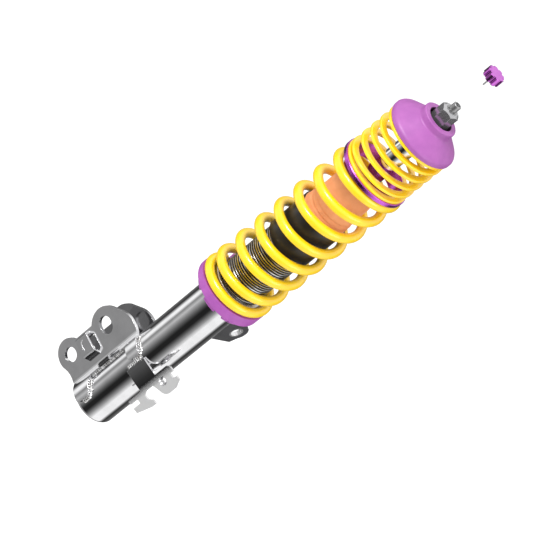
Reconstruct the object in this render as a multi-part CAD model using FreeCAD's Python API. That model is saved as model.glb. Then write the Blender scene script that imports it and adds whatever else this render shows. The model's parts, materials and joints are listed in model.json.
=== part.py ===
"""Two-bolt suspension strut with a threaded coil-over body.

Frame: the strut axis is Z, +Z points up to the rod end, and the origin is the centre
of the closed bottom end.  -X points at the steering knuckle, whose two bolts run along Y.
All sizes are in millimetres.
"""
import FreeCAD
import Part
import math
import os

V = FreeCAD.Vector
Z_AXIS = V(0, 0, 1)
ORIGIN = V(0, 0, 0)

# ---------------------------------------------------------------- driving dimensions
CLEAR = 0.3                    # gap between neighbouring moving bodies
FIT = 0.08                     # radial clearance of a running fit

TUBE_R = 25.5                  # strut tube, 51 mm outside
TUBE_WALL = 2.5
TUBE_TOP = 352.0
TUBE_END_ROUND = 5.0
TUBE_END_HOLE_R = 20.2
THREAD_PITCH = 3.0
THREAD_DEPTH = 0.9
THREAD_LOW = 217.0
THREAD_HIGH = 349.0

CYLINDER_R = 16.0              # inner working cylinder, inside radius
CYLINDER_WALL = 1.5
CYLINDER_LOW = 12.0
CYLINDER_HIGH = 331.0

ROD_R = 10.5                   # piston rod, 21 mm
ROD_BORE_R = 2.3
ROD_END_R = 6.0                # M12 ends
ROD_LOW = 250.0
ROD_SHOULDER_LOW = 284.0
ROD_SHOULDER_HIGH = 521.0
ROD_THREAD_TOP = 545.0
ROD_TIP = 552.5
ROD_TIP_R = 4.35
ROD_UNDERCUT_R = 3.7
TIP_SOCKET_AF = 5.5            # shallow hexagon socket in the end of the rod
TIP_SOCKET_DEEP = 1.6

NUT_AF = 19.0                  # tall nut that holds the seat on the rod
NUT_LOW = 524.0
NUT_TOP = 544.6
NUT_CHAMFER = 2.4
WASHER_R = 13.2

MAIN_WIRE_R = 5.1              # main coil spring
MAIN_MEAN_R = 36.0
MAIN_PITCH = 28.85
MAIN_END_PITCH = 16.8
FRONT_ANGLE = -70.9            # direction from which coil turns are counted, degrees
MAIN_FRONT_Z = 236.7           # wire centre where turn 0 crosses the front
MAIN_TURN_LOW = -0.35
MAIN_TURN_KNEE = 0.75
MAIN_TURN_HIGH = 7.65

HELPER_R_IN = 31.0             # flat-wire helper spring
HELPER_R_OUT = 38.5
HELPER_WIRE_H = 3.3
HELPER_PITCH = 12.9
HELPER_TURN_LOW = -0.3
HELPER_TURN_HIGH = 5.35

SEPARATOR_LOW = 436.3          # ring between the two springs
SEPARATOR_THICK = 4.6
SEPARATOR_R = 39.6
SLEEVE_R_OUT = 30.5
SLEEVE_R_IN = 29.2

SEAT_LOW = 502.4               # upper spring seat
SEAT_R = 39.4
SEAT_RIM_TOP = 508.5
SEAT_NECK_R = 19.8
SEAT_NECK_BASE = 521.5
SEAT_TOP = 529.5
SEAT_MOUTH_R = 13.6

PERCH_LOW = 214.0              # adjustable lower spring perch
PERCH_RING_R = 35.0
PERCH_RIM_LOW = 219.8
PERCH_RIM_R = 40.7
PERCH_LIP_TOP = 240.0
PERCH_LIP_R = 30.4
PERCH_NOTCHES = 8

EAR_T = 4.0                    # pressed clevis plates
EAR_OUT_Y = 18.0
EAR_BEND_R = 5.0
BOLT_X = -51.5
BOLT_LOW_Z = 18.0
BOLT_HIGH_Z = 77.5
BOLT_R = 8.25
SLOT_EXTRA = 3.5               # the upper hole is a short slot, for camber

HOSE_ANGLE = 8.5               # brake-hose bracket, direction of its root plate
HOSE_TURN = 6.0                # how far it bends on the way out
HOSE_T = 2.5
HOSE_NUT_P = 32.9
HOSE_NUT_Z = 110.8
HOSE_NUT_BORE_R = 3.3

TAB_ANGLE = 74.8               # stabiliser-link tab, a radial plate
TAB_T = 5.0
TAB_HOLE_P = 62.2
TAB_HOLE_Z = 164.8
TAB_HOLE_R = 6.05

BUMP_LOW = 362.0
BUMP_TOP = 419.0
DUST_LOW = 314.7
DUST_TOP = 366.0
DUST_R = 27.8
DUST_WALL = 1.4

KNOB_LOW = 595.5               # rebound knob, shown pulled off the rod
KNOB_TOP = 604.3
KNOB_R = 9.8
KNOB_VALLEY_R = 7.7
KNOB_LOBES = 8
KEY_LOW = 586.0
KEY_AF = 1.6


# ---------------------------------------------------------------- small helpers
def export(shape, name):
    """Write one sub-part and report its size."""
    os.makedirs("parts", exist_ok=True)
    shape.exportStep("parts/%s.step" % name)
    valid = "ok" if shape.isValid() else "INVALID"
    print("%-22s %d solid(s) %10.1f mm3 %s" % (name, len(shape.Solids), shape.Volume, valid))


def outline(points):
    """Closed wire through (a, b) points; a 3-tuple ("arc", mid, end) makes an arc."""
    edges = []
    here = points[0]
    for item in points[1:] + [points[0]]:
        if item[0] == "arc":
            edges.append(Part.Arc(V(here[0], 0, here[1]), V(item[1][0], 0, item[1][1]),
                                  V(item[2][0], 0, item[2][1])).toShape())
            here = item[2]
        elif item != here:
            edges.append(Part.LineSegment(V(here[0], 0, here[1]), V(item[0], 0, item[1])).toShape())
            here = item
    return Part.Wire(edges)


def revolve(points):
    """Solid of revolution about Z from an (r, z) outline."""
    face = Part.Face(outline(points))
    return face.revolve(ORIGIN, Z_AXIS, 360)


def ring(r_in, r_out, low, high):
    outer = Part.makeCylinder(r_out, high - low, V(0, 0, low))
    if r_in <= 0:
        return outer
    return outer.cut(Part.makeCylinder(r_in, high - low + 2, V(0, 0, low - 1)))


def polar(radius, degrees, z=0.0):
    angle = math.radians(degrees)
    return V(radius * math.cos(angle), radius * math.sin(angle), z)


def hexagon(across_flats, low, high, turn=0.0):
    """Hexagonal prism about Z."""
    corner_r = across_flats / math.sqrt(3)
    corners = [polar(corner_r, turn + 60 * k, low) for k in range(7)]
    return Part.Face(Part.makePolygon(corners)).extrude(V(0, 0, high - low))


def side_plate(points, y_low, y_high):
    """Plate cut from an (x, z) outline, between two Y planes."""
    face = Part.Face(outline(points))
    face.translate(V(0, y_low, 0))
    return face.extrude(V(0, y_high - y_low, 0))


def turned(shape, degrees):
    copy = shape.copy()
    copy.rotate(ORIGIN, Z_AXIS, degrees)
    return copy


# ---------------------------------------------------------------- strut body
def strut_tube():
    inner = TUBE_R - TUBE_WALL
    root = TUBE_R - THREAD_DEPTH
    bend = TUBE_END_ROUND
    centre = TUBE_R - bend
    diag = math.sqrt(0.5)
    pts = [(TUBE_END_HOLE_R, 0.0), (centre, 0.0)]
    pts.append(("arc", (centre + bend * diag, bend - bend * diag), (TUBE_R, bend)))
    z = THREAD_LOW
    while z + THREAD_PITCH <= THREAD_HIGH:
        pts += [(TUBE_R, z), (root, z + 0.9), (root, z + 1.6), (TUBE_R, z + 2.5)]
        z += THREAD_PITCH
    pts += [(TUBE_R, TUBE_TOP - 0.8), (TUBE_R - 0.8, TUBE_TOP), (inner, TUBE_TOP), (inner, bend)]
    small = bend - TUBE_WALL
    pts.append(("arc", (centre + small * diag, bend - small * diag), (centre, TUBE_WALL)))
    pts.append((TUBE_END_HOLE_R, TUBE_WALL))
    return revolve(pts)


def base_cap():
    return revolve([(0, 0), (TUBE_END_HOLE_R, 0), (TUBE_END_HOLE_R, 3.5), (15.0, 8.0), (0, 8.0)])


def inner_cylinder():
    return ring(CYLINDER_R, CYLINDER_R + CYLINDER_WALL, CYLINDER_LOW, CYLINDER_HIGH)


def base_valve():
    body = revolve([(0, 8.0), (14.5, 8.0), (17.4, 11.0), (17.4, CYLINDER_LOW),
                    (CYLINDER_R - 0.05, CYLINDER_LOW), (CYLINDER_R - 0.05, 19.0),
                    (8.0, 20.0), (0, 20.0)])
    for k in range(6):
        port = Part.makeCylinder(1.5, 16, polar(11.5, 60 * k, 6.0))
        body = body.cut(port)
    return body.cut(Part.makeCylinder(2.0, 20, V(0, 0, 5)))


def base_valve_shims():
    discs = ring(2.5, 7.5, 20.0, 20.5).fuse(ring(2.5, 6.0, 20.5, 21.0))
    rivet = ring(0, 1.95, 9.0, 21.0).fuse(ring(0, 3.6, 21.0, 23.0))
    return discs.fuse(rivet).fuse(ring(1.9, 2.6, 20.0, 21.0)).removeSplitter()


def rod_guide():
    tube_in = TUBE_R - TUBE_WALL
    return revolve([(11.7, 325.0), (CYLINDER_R - 0.05, 325.0), (CYLINDER_R - 0.05, CYLINDER_HIGH),
                    (tube_in - 0.05, CYLINDER_HIGH), (tube_in - 0.05, 343.0), (11.7, 343.0)])


def guide_bush():
    return ring(ROD_R + FIT, 11.7, 326.0, 342.0)


def rod_seal():
    return revolve([(ROD_R + FIT, 343.5), (ROD_R + 1.2, 343.0), (17.0, 343.0), (17.0, 347.5),
                    (ROD_R + 2.0, 347.5), (ROD_R + FIT, 346.5)])


def gland_nut():
    tube_in = TUBE_R - TUBE_WALL
    nut = revolve([(17.1, 343.0), (tube_in - 0.05, 343.0), (tube_in - 0.05, TUBE_TOP),
                   (25.0, TUBE_TOP), (25.0, 360.7), (24.2, 361.5), (12.5, 361.5),
                   (12.0, 361.0), (12.0, 347.6), (17.1, 347.6)])
    for k in range(4):
        nut = nut.cut(Part.makeCylinder(2.2, 6, polar(18.5, 45 + 90 * k, 357.0)))
    return nut


# ---------------------------------------------------------------- knuckle clevis
def ear_outline():
    """Side view of one pressed plate: two bolt lobes and two tabs that hug the tube."""
    lobe_r = 18.0
    lobe_in = (BOLT_X + 9.0, BOLT_LOW_Z - math.sqrt(lobe_r ** 2 - 81.0))
    lobe_out = (BOLT_X - 10.0, BOLT_LOW_Z + math.sqrt(lobe_r ** 2 - 100.0))
    return [(-21.7, 108.3), (-4.0, 107.3), ("arc", (-1.0, 106.0), (0.0, 103.0)), (0.0, 94.5),
            ("arc", (-1.1, 91.8), (-4.0, 90.7)), (-17.0, 90.7), (-17.0, 29.5), (-4.5, 25.3),
            ("arc", (-1.2, 23.4), (0.0, 20.0)), (0.0, 9.5), ("arc", (-1.2, 6.2), (-4.5, 5.2)),
            (-17.0, 3.9), (-26.0, 3.7), ("arc", (-34.5, 4.6), lobe_in),
            ("arc", (BOLT_X - lobe_r, BOLT_LOW_Z), lobe_out), (BOLT_X - 10.0, 60.0),
            ("arc", (-71.1, 78.0), (-63.3, 95.4)), (-52.5, 104.8),
            ("arc", (-44.0, 109.3), (-34.5, 110.6)), (-29.0, 110.3)]


def ear_sheet():
    """Bent sheet seen from above: flat ear, bend, and the wrap round the tube."""
    fold_r = EAR_BEND_R + EAR_T / 2
    mid_r = TUBE_R + EAR_T / 2
    centre_y = -(EAR_OUT_Y - EAR_T / 2) - fold_r
    centre_x = -math.sqrt((mid_r + fold_r) ** 2 - centre_y ** 2)
    fold = Part.makeCylinder(EAR_BEND_R + EAR_T, 120, V(centre_x, centre_y, -2))
    fold = fold.cut(Part.makeCylinder(EAR_BEND_R, 122, V(centre_x, centre_y, -3)))
    wrap_side = Part.makePolygon([V(centre_x, -EAR_OUT_Y + EAR_T, -2), V(centre_x, centre_y, -2),
                                  V(0, 0, -2), V(centre_x, -EAR_OUT_Y + EAR_T, -2)])
    fold = fold.common(Part.Face(wrap_side).extrude(V(0, 0, 120)))
    wrap = ring(TUBE_R, TUBE_R + EAR_T, -2, 118)
    wedge = Part.makePolygon([ORIGIN, V(3 * centre_x, 3 * centre_y, 0), V(0, -90, 0), ORIGIN])
    wedge = Part.Face(wedge).extrude(V(0, 0, 122))
    wedge.translate(V(0, 0, -3))
    wrap = wrap.common(wedge)
    flat = Part.makeBox(80, EAR_T, 120, V(centre_x - 80, -EAR_OUT_Y, -2))
    return flat.fuse(fold).fuse(wrap).removeSplitter()


def bolt_holes():
    low = Part.makeCylinder(BOLT_R, 60, V(BOLT_X, 30, BOLT_LOW_Z), V(0, -1, 0))
    cuts = [low]
    for side in (-1, 1):
        x = BOLT_X + side * SLOT_EXTRA / 2
        cuts.append(Part.makeCylinder(BOLT_R, 60, V(x, 30, BOLT_HIGH_Z), V(0, -1, 0)))
    cuts.append(Part.makeBox(SLOT_EXTRA, 60, 2 * BOLT_R,
                             V(BOLT_X - SLOT_EXTRA / 2, -30, BOLT_HIGH_Z - BOLT_R)))
    return cuts


def clevis_ear():
    ear = ear_sheet().common(side_plate(ear_outline(), -40, 0))
    for cut in bolt_holes():
        ear = ear.cut(cut)
    return ear.removeSplitter()


def strap_window():
    """Opening behind the line strap, in the front ear only."""
    return Part.makeBox(17, 20, 20, V(-54.0, -28, 38.0))


def mirrored_y(shape):
    return shape.mirror(ORIGIN, V(0, 1, 0))


def bead(start, end, radius):
    """Straight weld bead with round ends."""
    run = end - start
    body = Part.makeCylinder(radius, run.Length, start, run)
    body = body.fuse(Part.makeSphere(radius, start))
    return body.fuse(Part.makeSphere(radius, end))


def on_tube(x, z):
    return V(x, -math.sqrt((TUBE_R + 0.6) ** 2 - x * x), z)


def clevis_welds(front_plate):
    """Beads along the free edges of both wraps, as separate solids."""
    keep_off = front_plate.fuse(Part.makeCylinder(TUBE_R, 130, V(0, 0, -5)))
    routes = [[(-17.0, 88.0), (-17.0, 32.0)],
              [(-18.0, 109.5), (-3.0, 108.6), (1.6, 103.6), (1.6, 94.0)],
              [(-14.5, 29.9), (-3.2, 26.2), (1.6, 20.6), (1.6, 9.5)]]
    beads = []
    for route in routes:
        solid = None
        for a, b in zip(route, route[1:]):
            part = bead(on_tube(a[0], a[1]), on_tube(b[0], b[1]), 2.1)
            solid = part if solid is None else solid.fuse(part)
        solid = solid.cut(keep_off)
        beads.append(max(solid.Solids, key=lambda s: s.Volume))
    beads += [mirrored_y(solid) for solid in beads]
    return Part.makeCompound(beads)


def line_strap():
    """Hat-section strap standing off the front ear."""
    thick = 2.6
    foot_y = -EAR_OUT_Y
    top_y = foot_y - 8.0
    outer = [(-59.0, foot_y), (-57.4, top_y + 1.5), (-56.0, top_y), (-37.6, top_y),
             (-36.0, top_y + 1.2), (-31.4, foot_y)]
    inner = [(-31.4 - thick * 1.15, foot_y), (-36.0 - thick * 0.9, top_y + thick + 0.8),
             (-38.2, top_y + thick), (-54.6, top_y + thick), (-55.0, top_y + thick + 0.8),
             (-59.0 + thick, foot_y)]
    corners = [V(x, y, 37.2) for x, y in outer + inner]
    return Part.Face(Part.makePolygon(corners + [corners[0]])).extrude(V(0, 0, 17.2))


# ---------------------------------------------------------------- brake-hose bracket
def hose_outline():
    """Side view of the bracket along its own length p, with its hook and notch."""
    return [(0.6, 80.8), (0.6, 107.8), (21.7, 107.8), (21.7, 125.0), (25.3, 128.9), (30.4, 128.9),
            (30.4, 123.6), (36.3, 123.6), (36.3, 128.9), (40.9, 128.9), (45.5, 119.0),
            (45.8, 110.5), ("arc", (44.3, 104.4), (39.7, 101.2)), (31.5, 98.4),
            ("arc", (29.4, 97.1), (28.7, 95.0)), (28.7, 87.5), ("arc", (34.5, 82.0), (40.0, 86.0)),
            ("arc", (41.2, 87.1), (42.6, 87.4)), (45.6, 87.4), (45.7, 80.5), (41.3, 60.5),
            (35.1, 60.5), (35.1, 71.6), (30.1, 71.6), (30.1, 60.3), (26.4, 60.3), (25.7, 80.8)]


def hose_sheet():
    """Bent sheet in plan: tangent to the tube at its root, turning slowly away."""
    start = math.radians(HOSE_ANGLE)
    normal = V(math.sin(start), -math.cos(start), 0)
    along = V(math.cos(start), math.sin(start), 0)
    foot = normal * TUBE_R
    bend_r = 16.0 / math.radians(HOSE_TURN)
    first = Part.makeBox(7.0, HOSE_T, 90)
    first.rotate(ORIGIN, Z_AXIS, HOSE_ANGLE)
    first.translate(foot + normal * HOSE_T + along * -1.0 + V(0, 0, 50))
    bend_at = foot + along * 6.0
    centre = bend_at - normal * bend_r
    arc = ring(bend_r, bend_r + HOSE_T, 0, 90)
    wedge = Part.Face(Part.makePolygon([ORIGIN, polar(400, HOSE_ANGLE - 90), polar(
        400, HOSE_ANGLE - 90 + HOSE_TURN), ORIGIN])).extrude(V(0, 0, 90))
    arc = arc.common(wedge)
    arc.translate(centre + V(0, 0, 50))
    end_angle = HOSE_ANGLE + HOSE_TURN
    end_normal = polar(1, end_angle - 90)
    last = Part.makeBox(30.0, HOSE_T, 90)
    last.rotate(ORIGIN, Z_AXIS, end_angle)
    last.translate(centre + end_normal * (bend_r + HOSE_T) + V(0, 0, 50))
    return first.fuse(arc).fuse(last).removeSplitter(), centre, bend_r, end_normal


def hose_parts():
    sheet, centre, bend_r, end_normal = hose_sheet()
    cutter = side_plate(hose_outline(), -60, 0)
    cutter.rotate(ORIGIN, Z_AXIS, HOSE_ANGLE + HOSE_TURN / 2)
    plate = sheet.common(cutter)
    along = V(-end_normal.y, end_normal.x, 0)
    on_back = centre + end_normal * bend_r + along * (HOSE_NUT_P - 22.0) + V(0, 0, HOSE_NUT_Z)
    hole = Part.makeCylinder(4.9, 12, on_back - end_normal * 6, end_normal)
    plate = plate.cut(hole)
    nut = Part.makeCylinder(6.6, 4.5, on_back, end_normal * -1)
    collar = Part.makeCylinder(4.85, HOSE_T - 0.3, on_back, end_normal)
    nut = nut.fuse(collar).removeSplitter()
    nut = nut.cut(Part.makeCylinder(HOSE_NUT_BORE_R, 20, on_back + end_normal * 8, end_normal * -1))
    mouth = Part.makeCone(HOSE_NUT_BORE_R, 4.6, 1.6, on_back + end_normal * 0.6, end_normal)
    nut = nut.cut(mouth)
    print("hose nut centre", on_back, "axis", end_normal)
    return plate, nut


def hose_weld(plate, clevis_beads):
    low = polar(TUBE_R + 1.1, HOSE_ANGLE - 90.5, 83.0)
    high = polar(TUBE_R + 1.1, HOSE_ANGLE - 90.5, 105.5)
    solid = bead(low, high, 2.3).cut(plate).cut(clevis_beads)
    solid = solid.cut(Part.makeCylinder(TUBE_R, 60, V(0, 0, 60)))
    return max(solid.Solids, key=lambda s: s.Volume)


# ---------------------------------------------------------------- stabiliser-link tab
def tab_outline():
    return [(TUBE_R - 0.5, 147.0), (66.7, 147.6), ("arc", (67.7, 148.0), (68.3, 148.9)), (72.4, 156.5),
            ("arc", (75.6, 168.5), (66.0, 177.1)), (52.0, 178.5), (TUBE_R - 0.5, 186.0)]


def stabiliser_tab():
    plate = side_plate(tab_outline(), -TAB_T / 2, TAB_T / 2)
    hole = Part.makeCylinder(TAB_HOLE_R, 20, V(TAB_HOLE_P, -10, TAB_HOLE_Z), V(0, 1, 0))
    plate = plate.cut(hole)
    plate = plate.cut(Part.makeCylinder(TUBE_R, 60, V(0, 0, 140)))
    return turned(plate, TAB_ANGLE)


def stabiliser_tab_weld():
    beads = []
    for side in (-1, 1):
        y = side * (TAB_T / 2 + 0.2)
        x = math.sqrt((TUBE_R + 0.2) ** 2 - y * y)
        solid = bead(V(x, y, 149.0), V(x, y, 182.5), 2.2)
        solid = solid.cut(Part.makeBox(60, TAB_T, 60, V(0, -TAB_T / 2, 135)))
        solid = solid.cut(Part.makeCylinder(TUBE_R, 60, V(0, 0, 135)))
        beads.append(turned(max(solid.Solids, key=lambda s: s.Volume), TAB_ANGLE))
    return Part.makeCompound(beads)


# ---------------------------------------------------------------- springs
def ramp(turn, low, high):
    """Share of full pitch gained between two turn counts, easing in linearly."""
    if turn <= low:
        return 0.0
    if turn >= high:
        return (high - low) / 2 + turn - high
    return (turn - low) ** 2 / (2 * (high - low))


def main_height(turn):
    """Wire-centre height of the main spring; turns are counted from the front."""
    base = MAIN_FRONT_Z + MAIN_END_PITCH * turn
    gain = (MAIN_PITCH - MAIN_END_PITCH) * ramp(turn, MAIN_TURN_KNEE - 0.15, MAIN_TURN_KNEE + 0.15)
    top = SEPARATOR_LOW - MAIN_WIRE_R - CLEAR
    flat_turn = MAIN_TURN_KNEE + (top - main_knee_height()) / MAIN_PITCH
    return base + gain - MAIN_PITCH * ramp(turn, flat_turn - 0.1, flat_turn + 0.1)


def main_knee_height():
    return MAIN_FRONT_Z + MAIN_END_PITCH * MAIN_TURN_KNEE


def helper_height(turn):
    low = SEPARATOR_LOW + SEPARATOR_THICK + HELPER_WIRE_H / 2 + 0.05
    high = SEAT_LOW - HELPER_WIRE_H / 2 - CLEAR
    start = 0.42
    stop = start + (high - low) / HELPER_PITCH
    climb = ramp(turn, start - 0.12, start + 0.12) - ramp(turn, stop - 0.12, stop + 0.12)
    return low + HELPER_PITCH * climb


def coil_point(radius, turn, height):
    return polar(radius, FRONT_ANGLE + 360 * turn, height)


def coil_path(radius, low, high, height, steps=16):
    count = int(round((high - low) * steps))
    turns = [low + (high - low) * k / count for k in range(count + 1)]
    curve = Part.BSplineCurve()
    curve.interpolate([coil_point(radius, t, height(t)) for t in turns])
    return Part.Wire([curve.toShape()])


def sweep(path, section):
    return path.makePipeShell([section], True, True)


def main_spring():
    path = coil_path(MAIN_MEAN_R, MAIN_TURN_LOW, MAIN_TURN_HIGH, main_height)
    start = coil_point(MAIN_MEAN_R, MAIN_TURN_LOW, main_height(MAIN_TURN_LOW))
    tangent = polar(1, FRONT_ANGLE + 360 * MAIN_TURN_LOW + 90)
    section = Part.Wire([Part.makeCircle(MAIN_WIRE_R, start, tangent)])
    solid = sweep(path, section)
    print("main spring volume over section times length",
          solid.Volume / (math.pi * MAIN_WIRE_R ** 2 * path.Length))
    return solid


def helper_spring():
    mean = (HELPER_R_IN + HELPER_R_OUT) / 2
    path = coil_path(mean, HELPER_TURN_LOW, HELPER_TURN_HIGH, helper_height)
    angle = FRONT_ANGLE + 360 * HELPER_TURN_LOW
    z = helper_height(HELPER_TURN_LOW)
    half = HELPER_WIRE_H / 2
    corners = [(HELPER_R_IN, z - half), (HELPER_R_OUT, z - half), (HELPER_R_OUT, z + half),
               (HELPER_R_IN, z + half), (HELPER_R_IN, z - half)]
    section = Part.makePolygon([polar(r, angle, h) for r, h in corners])
    solid = sweep(path, section)
    area = (HELPER_R_OUT - HELPER_R_IN) * HELPER_WIRE_H
    print("helper volume over section times length", solid.Volume / (area * path.Length))
    return solid


def separator_ring():
    top = SEPARATOR_LOW + SEPARATOR_THICK
    return revolve([(SLEEVE_R_IN, 427.5), (SLEEVE_R_IN + 0.5, 427.0), (SLEEVE_R_OUT, 427.0),
                    (SLEEVE_R_OUT, SEPARATOR_LOW), (SEPARATOR_R - 0.4, SEPARATOR_LOW),
                    (SEPARATOR_R, SEPARATOR_LOW + 0.4), (SEPARATOR_R, top - 0.5),
                    (SEPARATOR_R - 0.5, top), (SLEEVE_R_OUT, top), (SLEEVE_R_OUT - 0.1, 445.0),
                    (SLEEVE_R_OUT - 0.5, 445.4), (SLEEVE_R_IN, 445.4)])


# ---------------------------------------------------------------- upper spring seat
def upper_spring_seat():
    ledge_r = ROD_R + 0.5
    return revolve([(29.0, 498.0), (30.5, 498.0), (30.5, SEAT_LOW), (SEAT_R - 1.0, SEAT_LOW),
                    (SEAT_R, SEAT_LOW + 1.0), (SEAT_R, SEAT_RIM_TOP - 2.0),
                    ("arc", (SEAT_R - 0.7, SEAT_RIM_TOP - 0.5), (SEAT_R - 2.2, SEAT_RIM_TOP + 1.0)),
                    (SEAT_NECK_R + 2.0, SEAT_NECK_BASE - 0.6),
                    ("arc", (SEAT_NECK_R + 0.5, SEAT_NECK_BASE + 0.5), (SEAT_NECK_R, SEAT_NECK_BASE + 2.0)),
                    (SEAT_NECK_R, SEAT_TOP - 1.0),
                    ("arc", (SEAT_NECK_R - 0.3, SEAT_TOP - 0.3), (SEAT_NECK_R - 1.0, SEAT_TOP)),
                    (SEAT_MOUTH_R + 0.6, SEAT_TOP), (SEAT_MOUTH_R, SEAT_TOP - 0.6),
                    (SEAT_MOUTH_R, 520.7), (ledge_r, 520.7), (ledge_r, 517.0),
                    (13.0, 515.5), (29.0, 508.0)])


# ---------------------------------------------------------------- lower perch
def perch_ramp_height(turn):
    """Height of the seat under the first coil, which the collar follows."""
    follow = min(turn, 0.30)
    return MAIN_FRONT_Z + MAIN_END_PITCH * follow - MAIN_WIRE_R - CLEAR


def perch_ramp():
    """Spiral seat, as a chain of lofted radial sections cut to the rim."""
    sections = []
    steps = 30
    for k in range(steps + 1):
        turn = MAIN_TURN_LOW + 0.97 * k / steps
        angle = FRONT_ANGLE + 360 * turn
        top = perch_ramp_height(turn)
        corners = [(PERCH_LIP_R - 1.5, 222.0), (PERCH_RIM_R + 3, 222.0),
                   (PERCH_RIM_R + 3, top), (PERCH_LIP_R - 1.5, top), (PERCH_LIP_R - 1.5, 222.0)]
        sections.append(Part.makePolygon([polar(r, angle, z) for r, z in corners]))
    solid = Part.makeLoft(sections, True, True)
    return solid.common(ring(PERCH_LIP_R + 0.1, PERCH_RIM_R, 221.0, 250.0))


def perch_collar():
    low = PERCH_LOW
    floor = perch_ramp_height(MAIN_TURN_LOW) - 0.5
    body = revolve([(28.2, low), (PERCH_RING_R - 0.8, low), (PERCH_RING_R, low + 0.8),
                    (PERCH_RING_R, PERCH_RIM_LOW - 1.5),
                    ("arc", (PERCH_RING_R + 0.9, PERCH_RIM_LOW - 0.2), (PERCH_RIM_R - 2.0, PERCH_RIM_LOW)),
                    ("arc", (PERCH_RIM_R - 0.6, PERCH_RIM_LOW + 0.6), (PERCH_RIM_R, PERCH_RIM_LOW + 2.0)),
                    (PERCH_RIM_R, floor), (PERCH_LIP_R + 0.1, floor), (PERCH_LIP_R + 0.1, 222.0),
                    (28.2, 222.0)])
    body = body.fuse(perch_ramp()).removeSplitter()
    for k in range(PERCH_NOTCHES):
        notch = Part.makeBox(7, 10.5, 5.2, V(29.5, -5.25, low - 0.5))
        body = body.cut(turned(notch, FRONT_ANGLE + 17.6 + 360.0 / PERCH_NOTCHES * k))
    screw = Part.makeCylinder(2.3, 12, V(27, 0, low + 3.6), V(1, 0, 0))
    return body.cut(turned(screw, FRONT_ANGLE + 40.5))


def perch_insert():
    top = PERCH_LIP_TOP
    return revolve([(TUBE_R + FIT, PERCH_LOW), (28.1, PERCH_LOW), (28.1, 222.1), (PERCH_LIP_R, 222.1),
                    (PERCH_LIP_R, top - 1.2), ("arc", (PERCH_LIP_R - 0.4, top - 0.3),
                                              (PERCH_LIP_R - 1.2, top)),
                    (TUBE_R + 1.2, top), (TUBE_R + FIT, top - 1.2)])


def perch_lock_screw():
    screw = Part.makeCylinder(2.2, 6.2, V(28.2, 0, PERCH_LOW + 3.6), V(1, 0, 0))
    socket = hexagon(2.5, 0, 4.0)
    socket.rotate(ORIGIN, V(0, 1, 0), 90)
    socket.translate(V(32.0, 0, PERCH_LOW + 3.6))
    return turned(screw.cut(socket), FRONT_ANGLE + 40.5)


# ---------------------------------------------------------------- rod and piston
def piston_rod():
    undercut_top = ROD_THREAD_TOP + 1.1
    rod = revolve([(ROD_BORE_R, ROD_LOW), (ROD_END_R, ROD_LOW), (ROD_END_R, ROD_SHOULDER_LOW),
                   (ROD_R - 0.6, ROD_SHOULDER_LOW), (ROD_R, ROD_SHOULDER_LOW + 0.6),
                   (ROD_R, ROD_SHOULDER_HIGH - 0.6), (ROD_R - 0.6, ROD_SHOULDER_HIGH),
                   (ROD_END_R, ROD_SHOULDER_HIGH), (ROD_END_R, ROD_THREAD_TOP),
                   (ROD_UNDERCUT_R, ROD_THREAD_TOP), (ROD_UNDERCUT_R, undercut_top),
                   (ROD_TIP_R, undercut_top), (ROD_TIP_R, ROD_TIP - 0.4),
                   (ROD_TIP_R - 0.4, ROD_TIP), (ROD_BORE_R, ROD_TIP)])
    return rod.cut(hexagon(TIP_SOCKET_AF, ROD_TIP - TIP_SOCKET_DEEP, ROD_TIP + 1, FRONT_ANGLE))


def rod_nut():
    corner = NUT_AF / math.sqrt(3)
    nut = hexagon(NUT_AF, NUT_LOW, NUT_TOP, FRONT_ANGLE + 30)
    cone = revolve([(0, NUT_LOW), (corner - 0.8, NUT_LOW), (corner + 0.1, NUT_LOW + 1.0),
                    (corner + 0.1, NUT_TOP - NUT_CHAMFER), (7.6, NUT_TOP), (0, NUT_TOP)])
    return nut.common(cone).cut(Part.makeCylinder(ROD_END_R, 40, V(0, 0, NUT_LOW - 5)))


def seat_washer():
    return ring(ROD_END_R + 0.05, WASHER_R, ROD_SHOULDER_HIGH, NUT_LOW)


def piston():
    body = revolve([(ROD_END_R, 264.0), (14.5, 264.0), (15.9, 265.4), (15.9, 268.0), (14.6, 268.0),
                    (14.6, 278.0), (15.9, 278.0), (15.9, 280.6), (14.5, 282.0), (ROD_END_R, 282.0)])
    for k in range(6):
        body = body.cut(Part.makeCylinder(1.4, 30, polar(10.5, 60 * k, 258.0)))
    return body


def piston_band():
    return ring(14.6, CYLINDER_R - 0.06, 268.2, 277.8)


def piston_shims():
    low = ring(ROD_END_R + 0.05, 12.0, 262.8, 264.0).fuse(ring(ROD_END_R + 0.05, 9.5, 262.0, 262.8))
    high = ring(ROD_END_R + 0.05, 12.0, 282.0, 283.2).fuse(ring(ROD_END_R + 0.05, 9.5, 283.2, 284.0))
    return Part.makeCompound([low.removeSplitter(), high.removeSplitter()])


def piston_nut():
    return hexagon(17.0, 253.0, 262.0, 10).cut(Part.makeCylinder(ROD_END_R, 20, V(0, 0, 250)))


def rebound_stop():
    return revolve([(ROD_R, 290.0), (13.6, 290.0), (14.6, 291.0), (14.6, 299.0), (13.0, 300.5),
                    (ROD_R, 300.5)])


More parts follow.
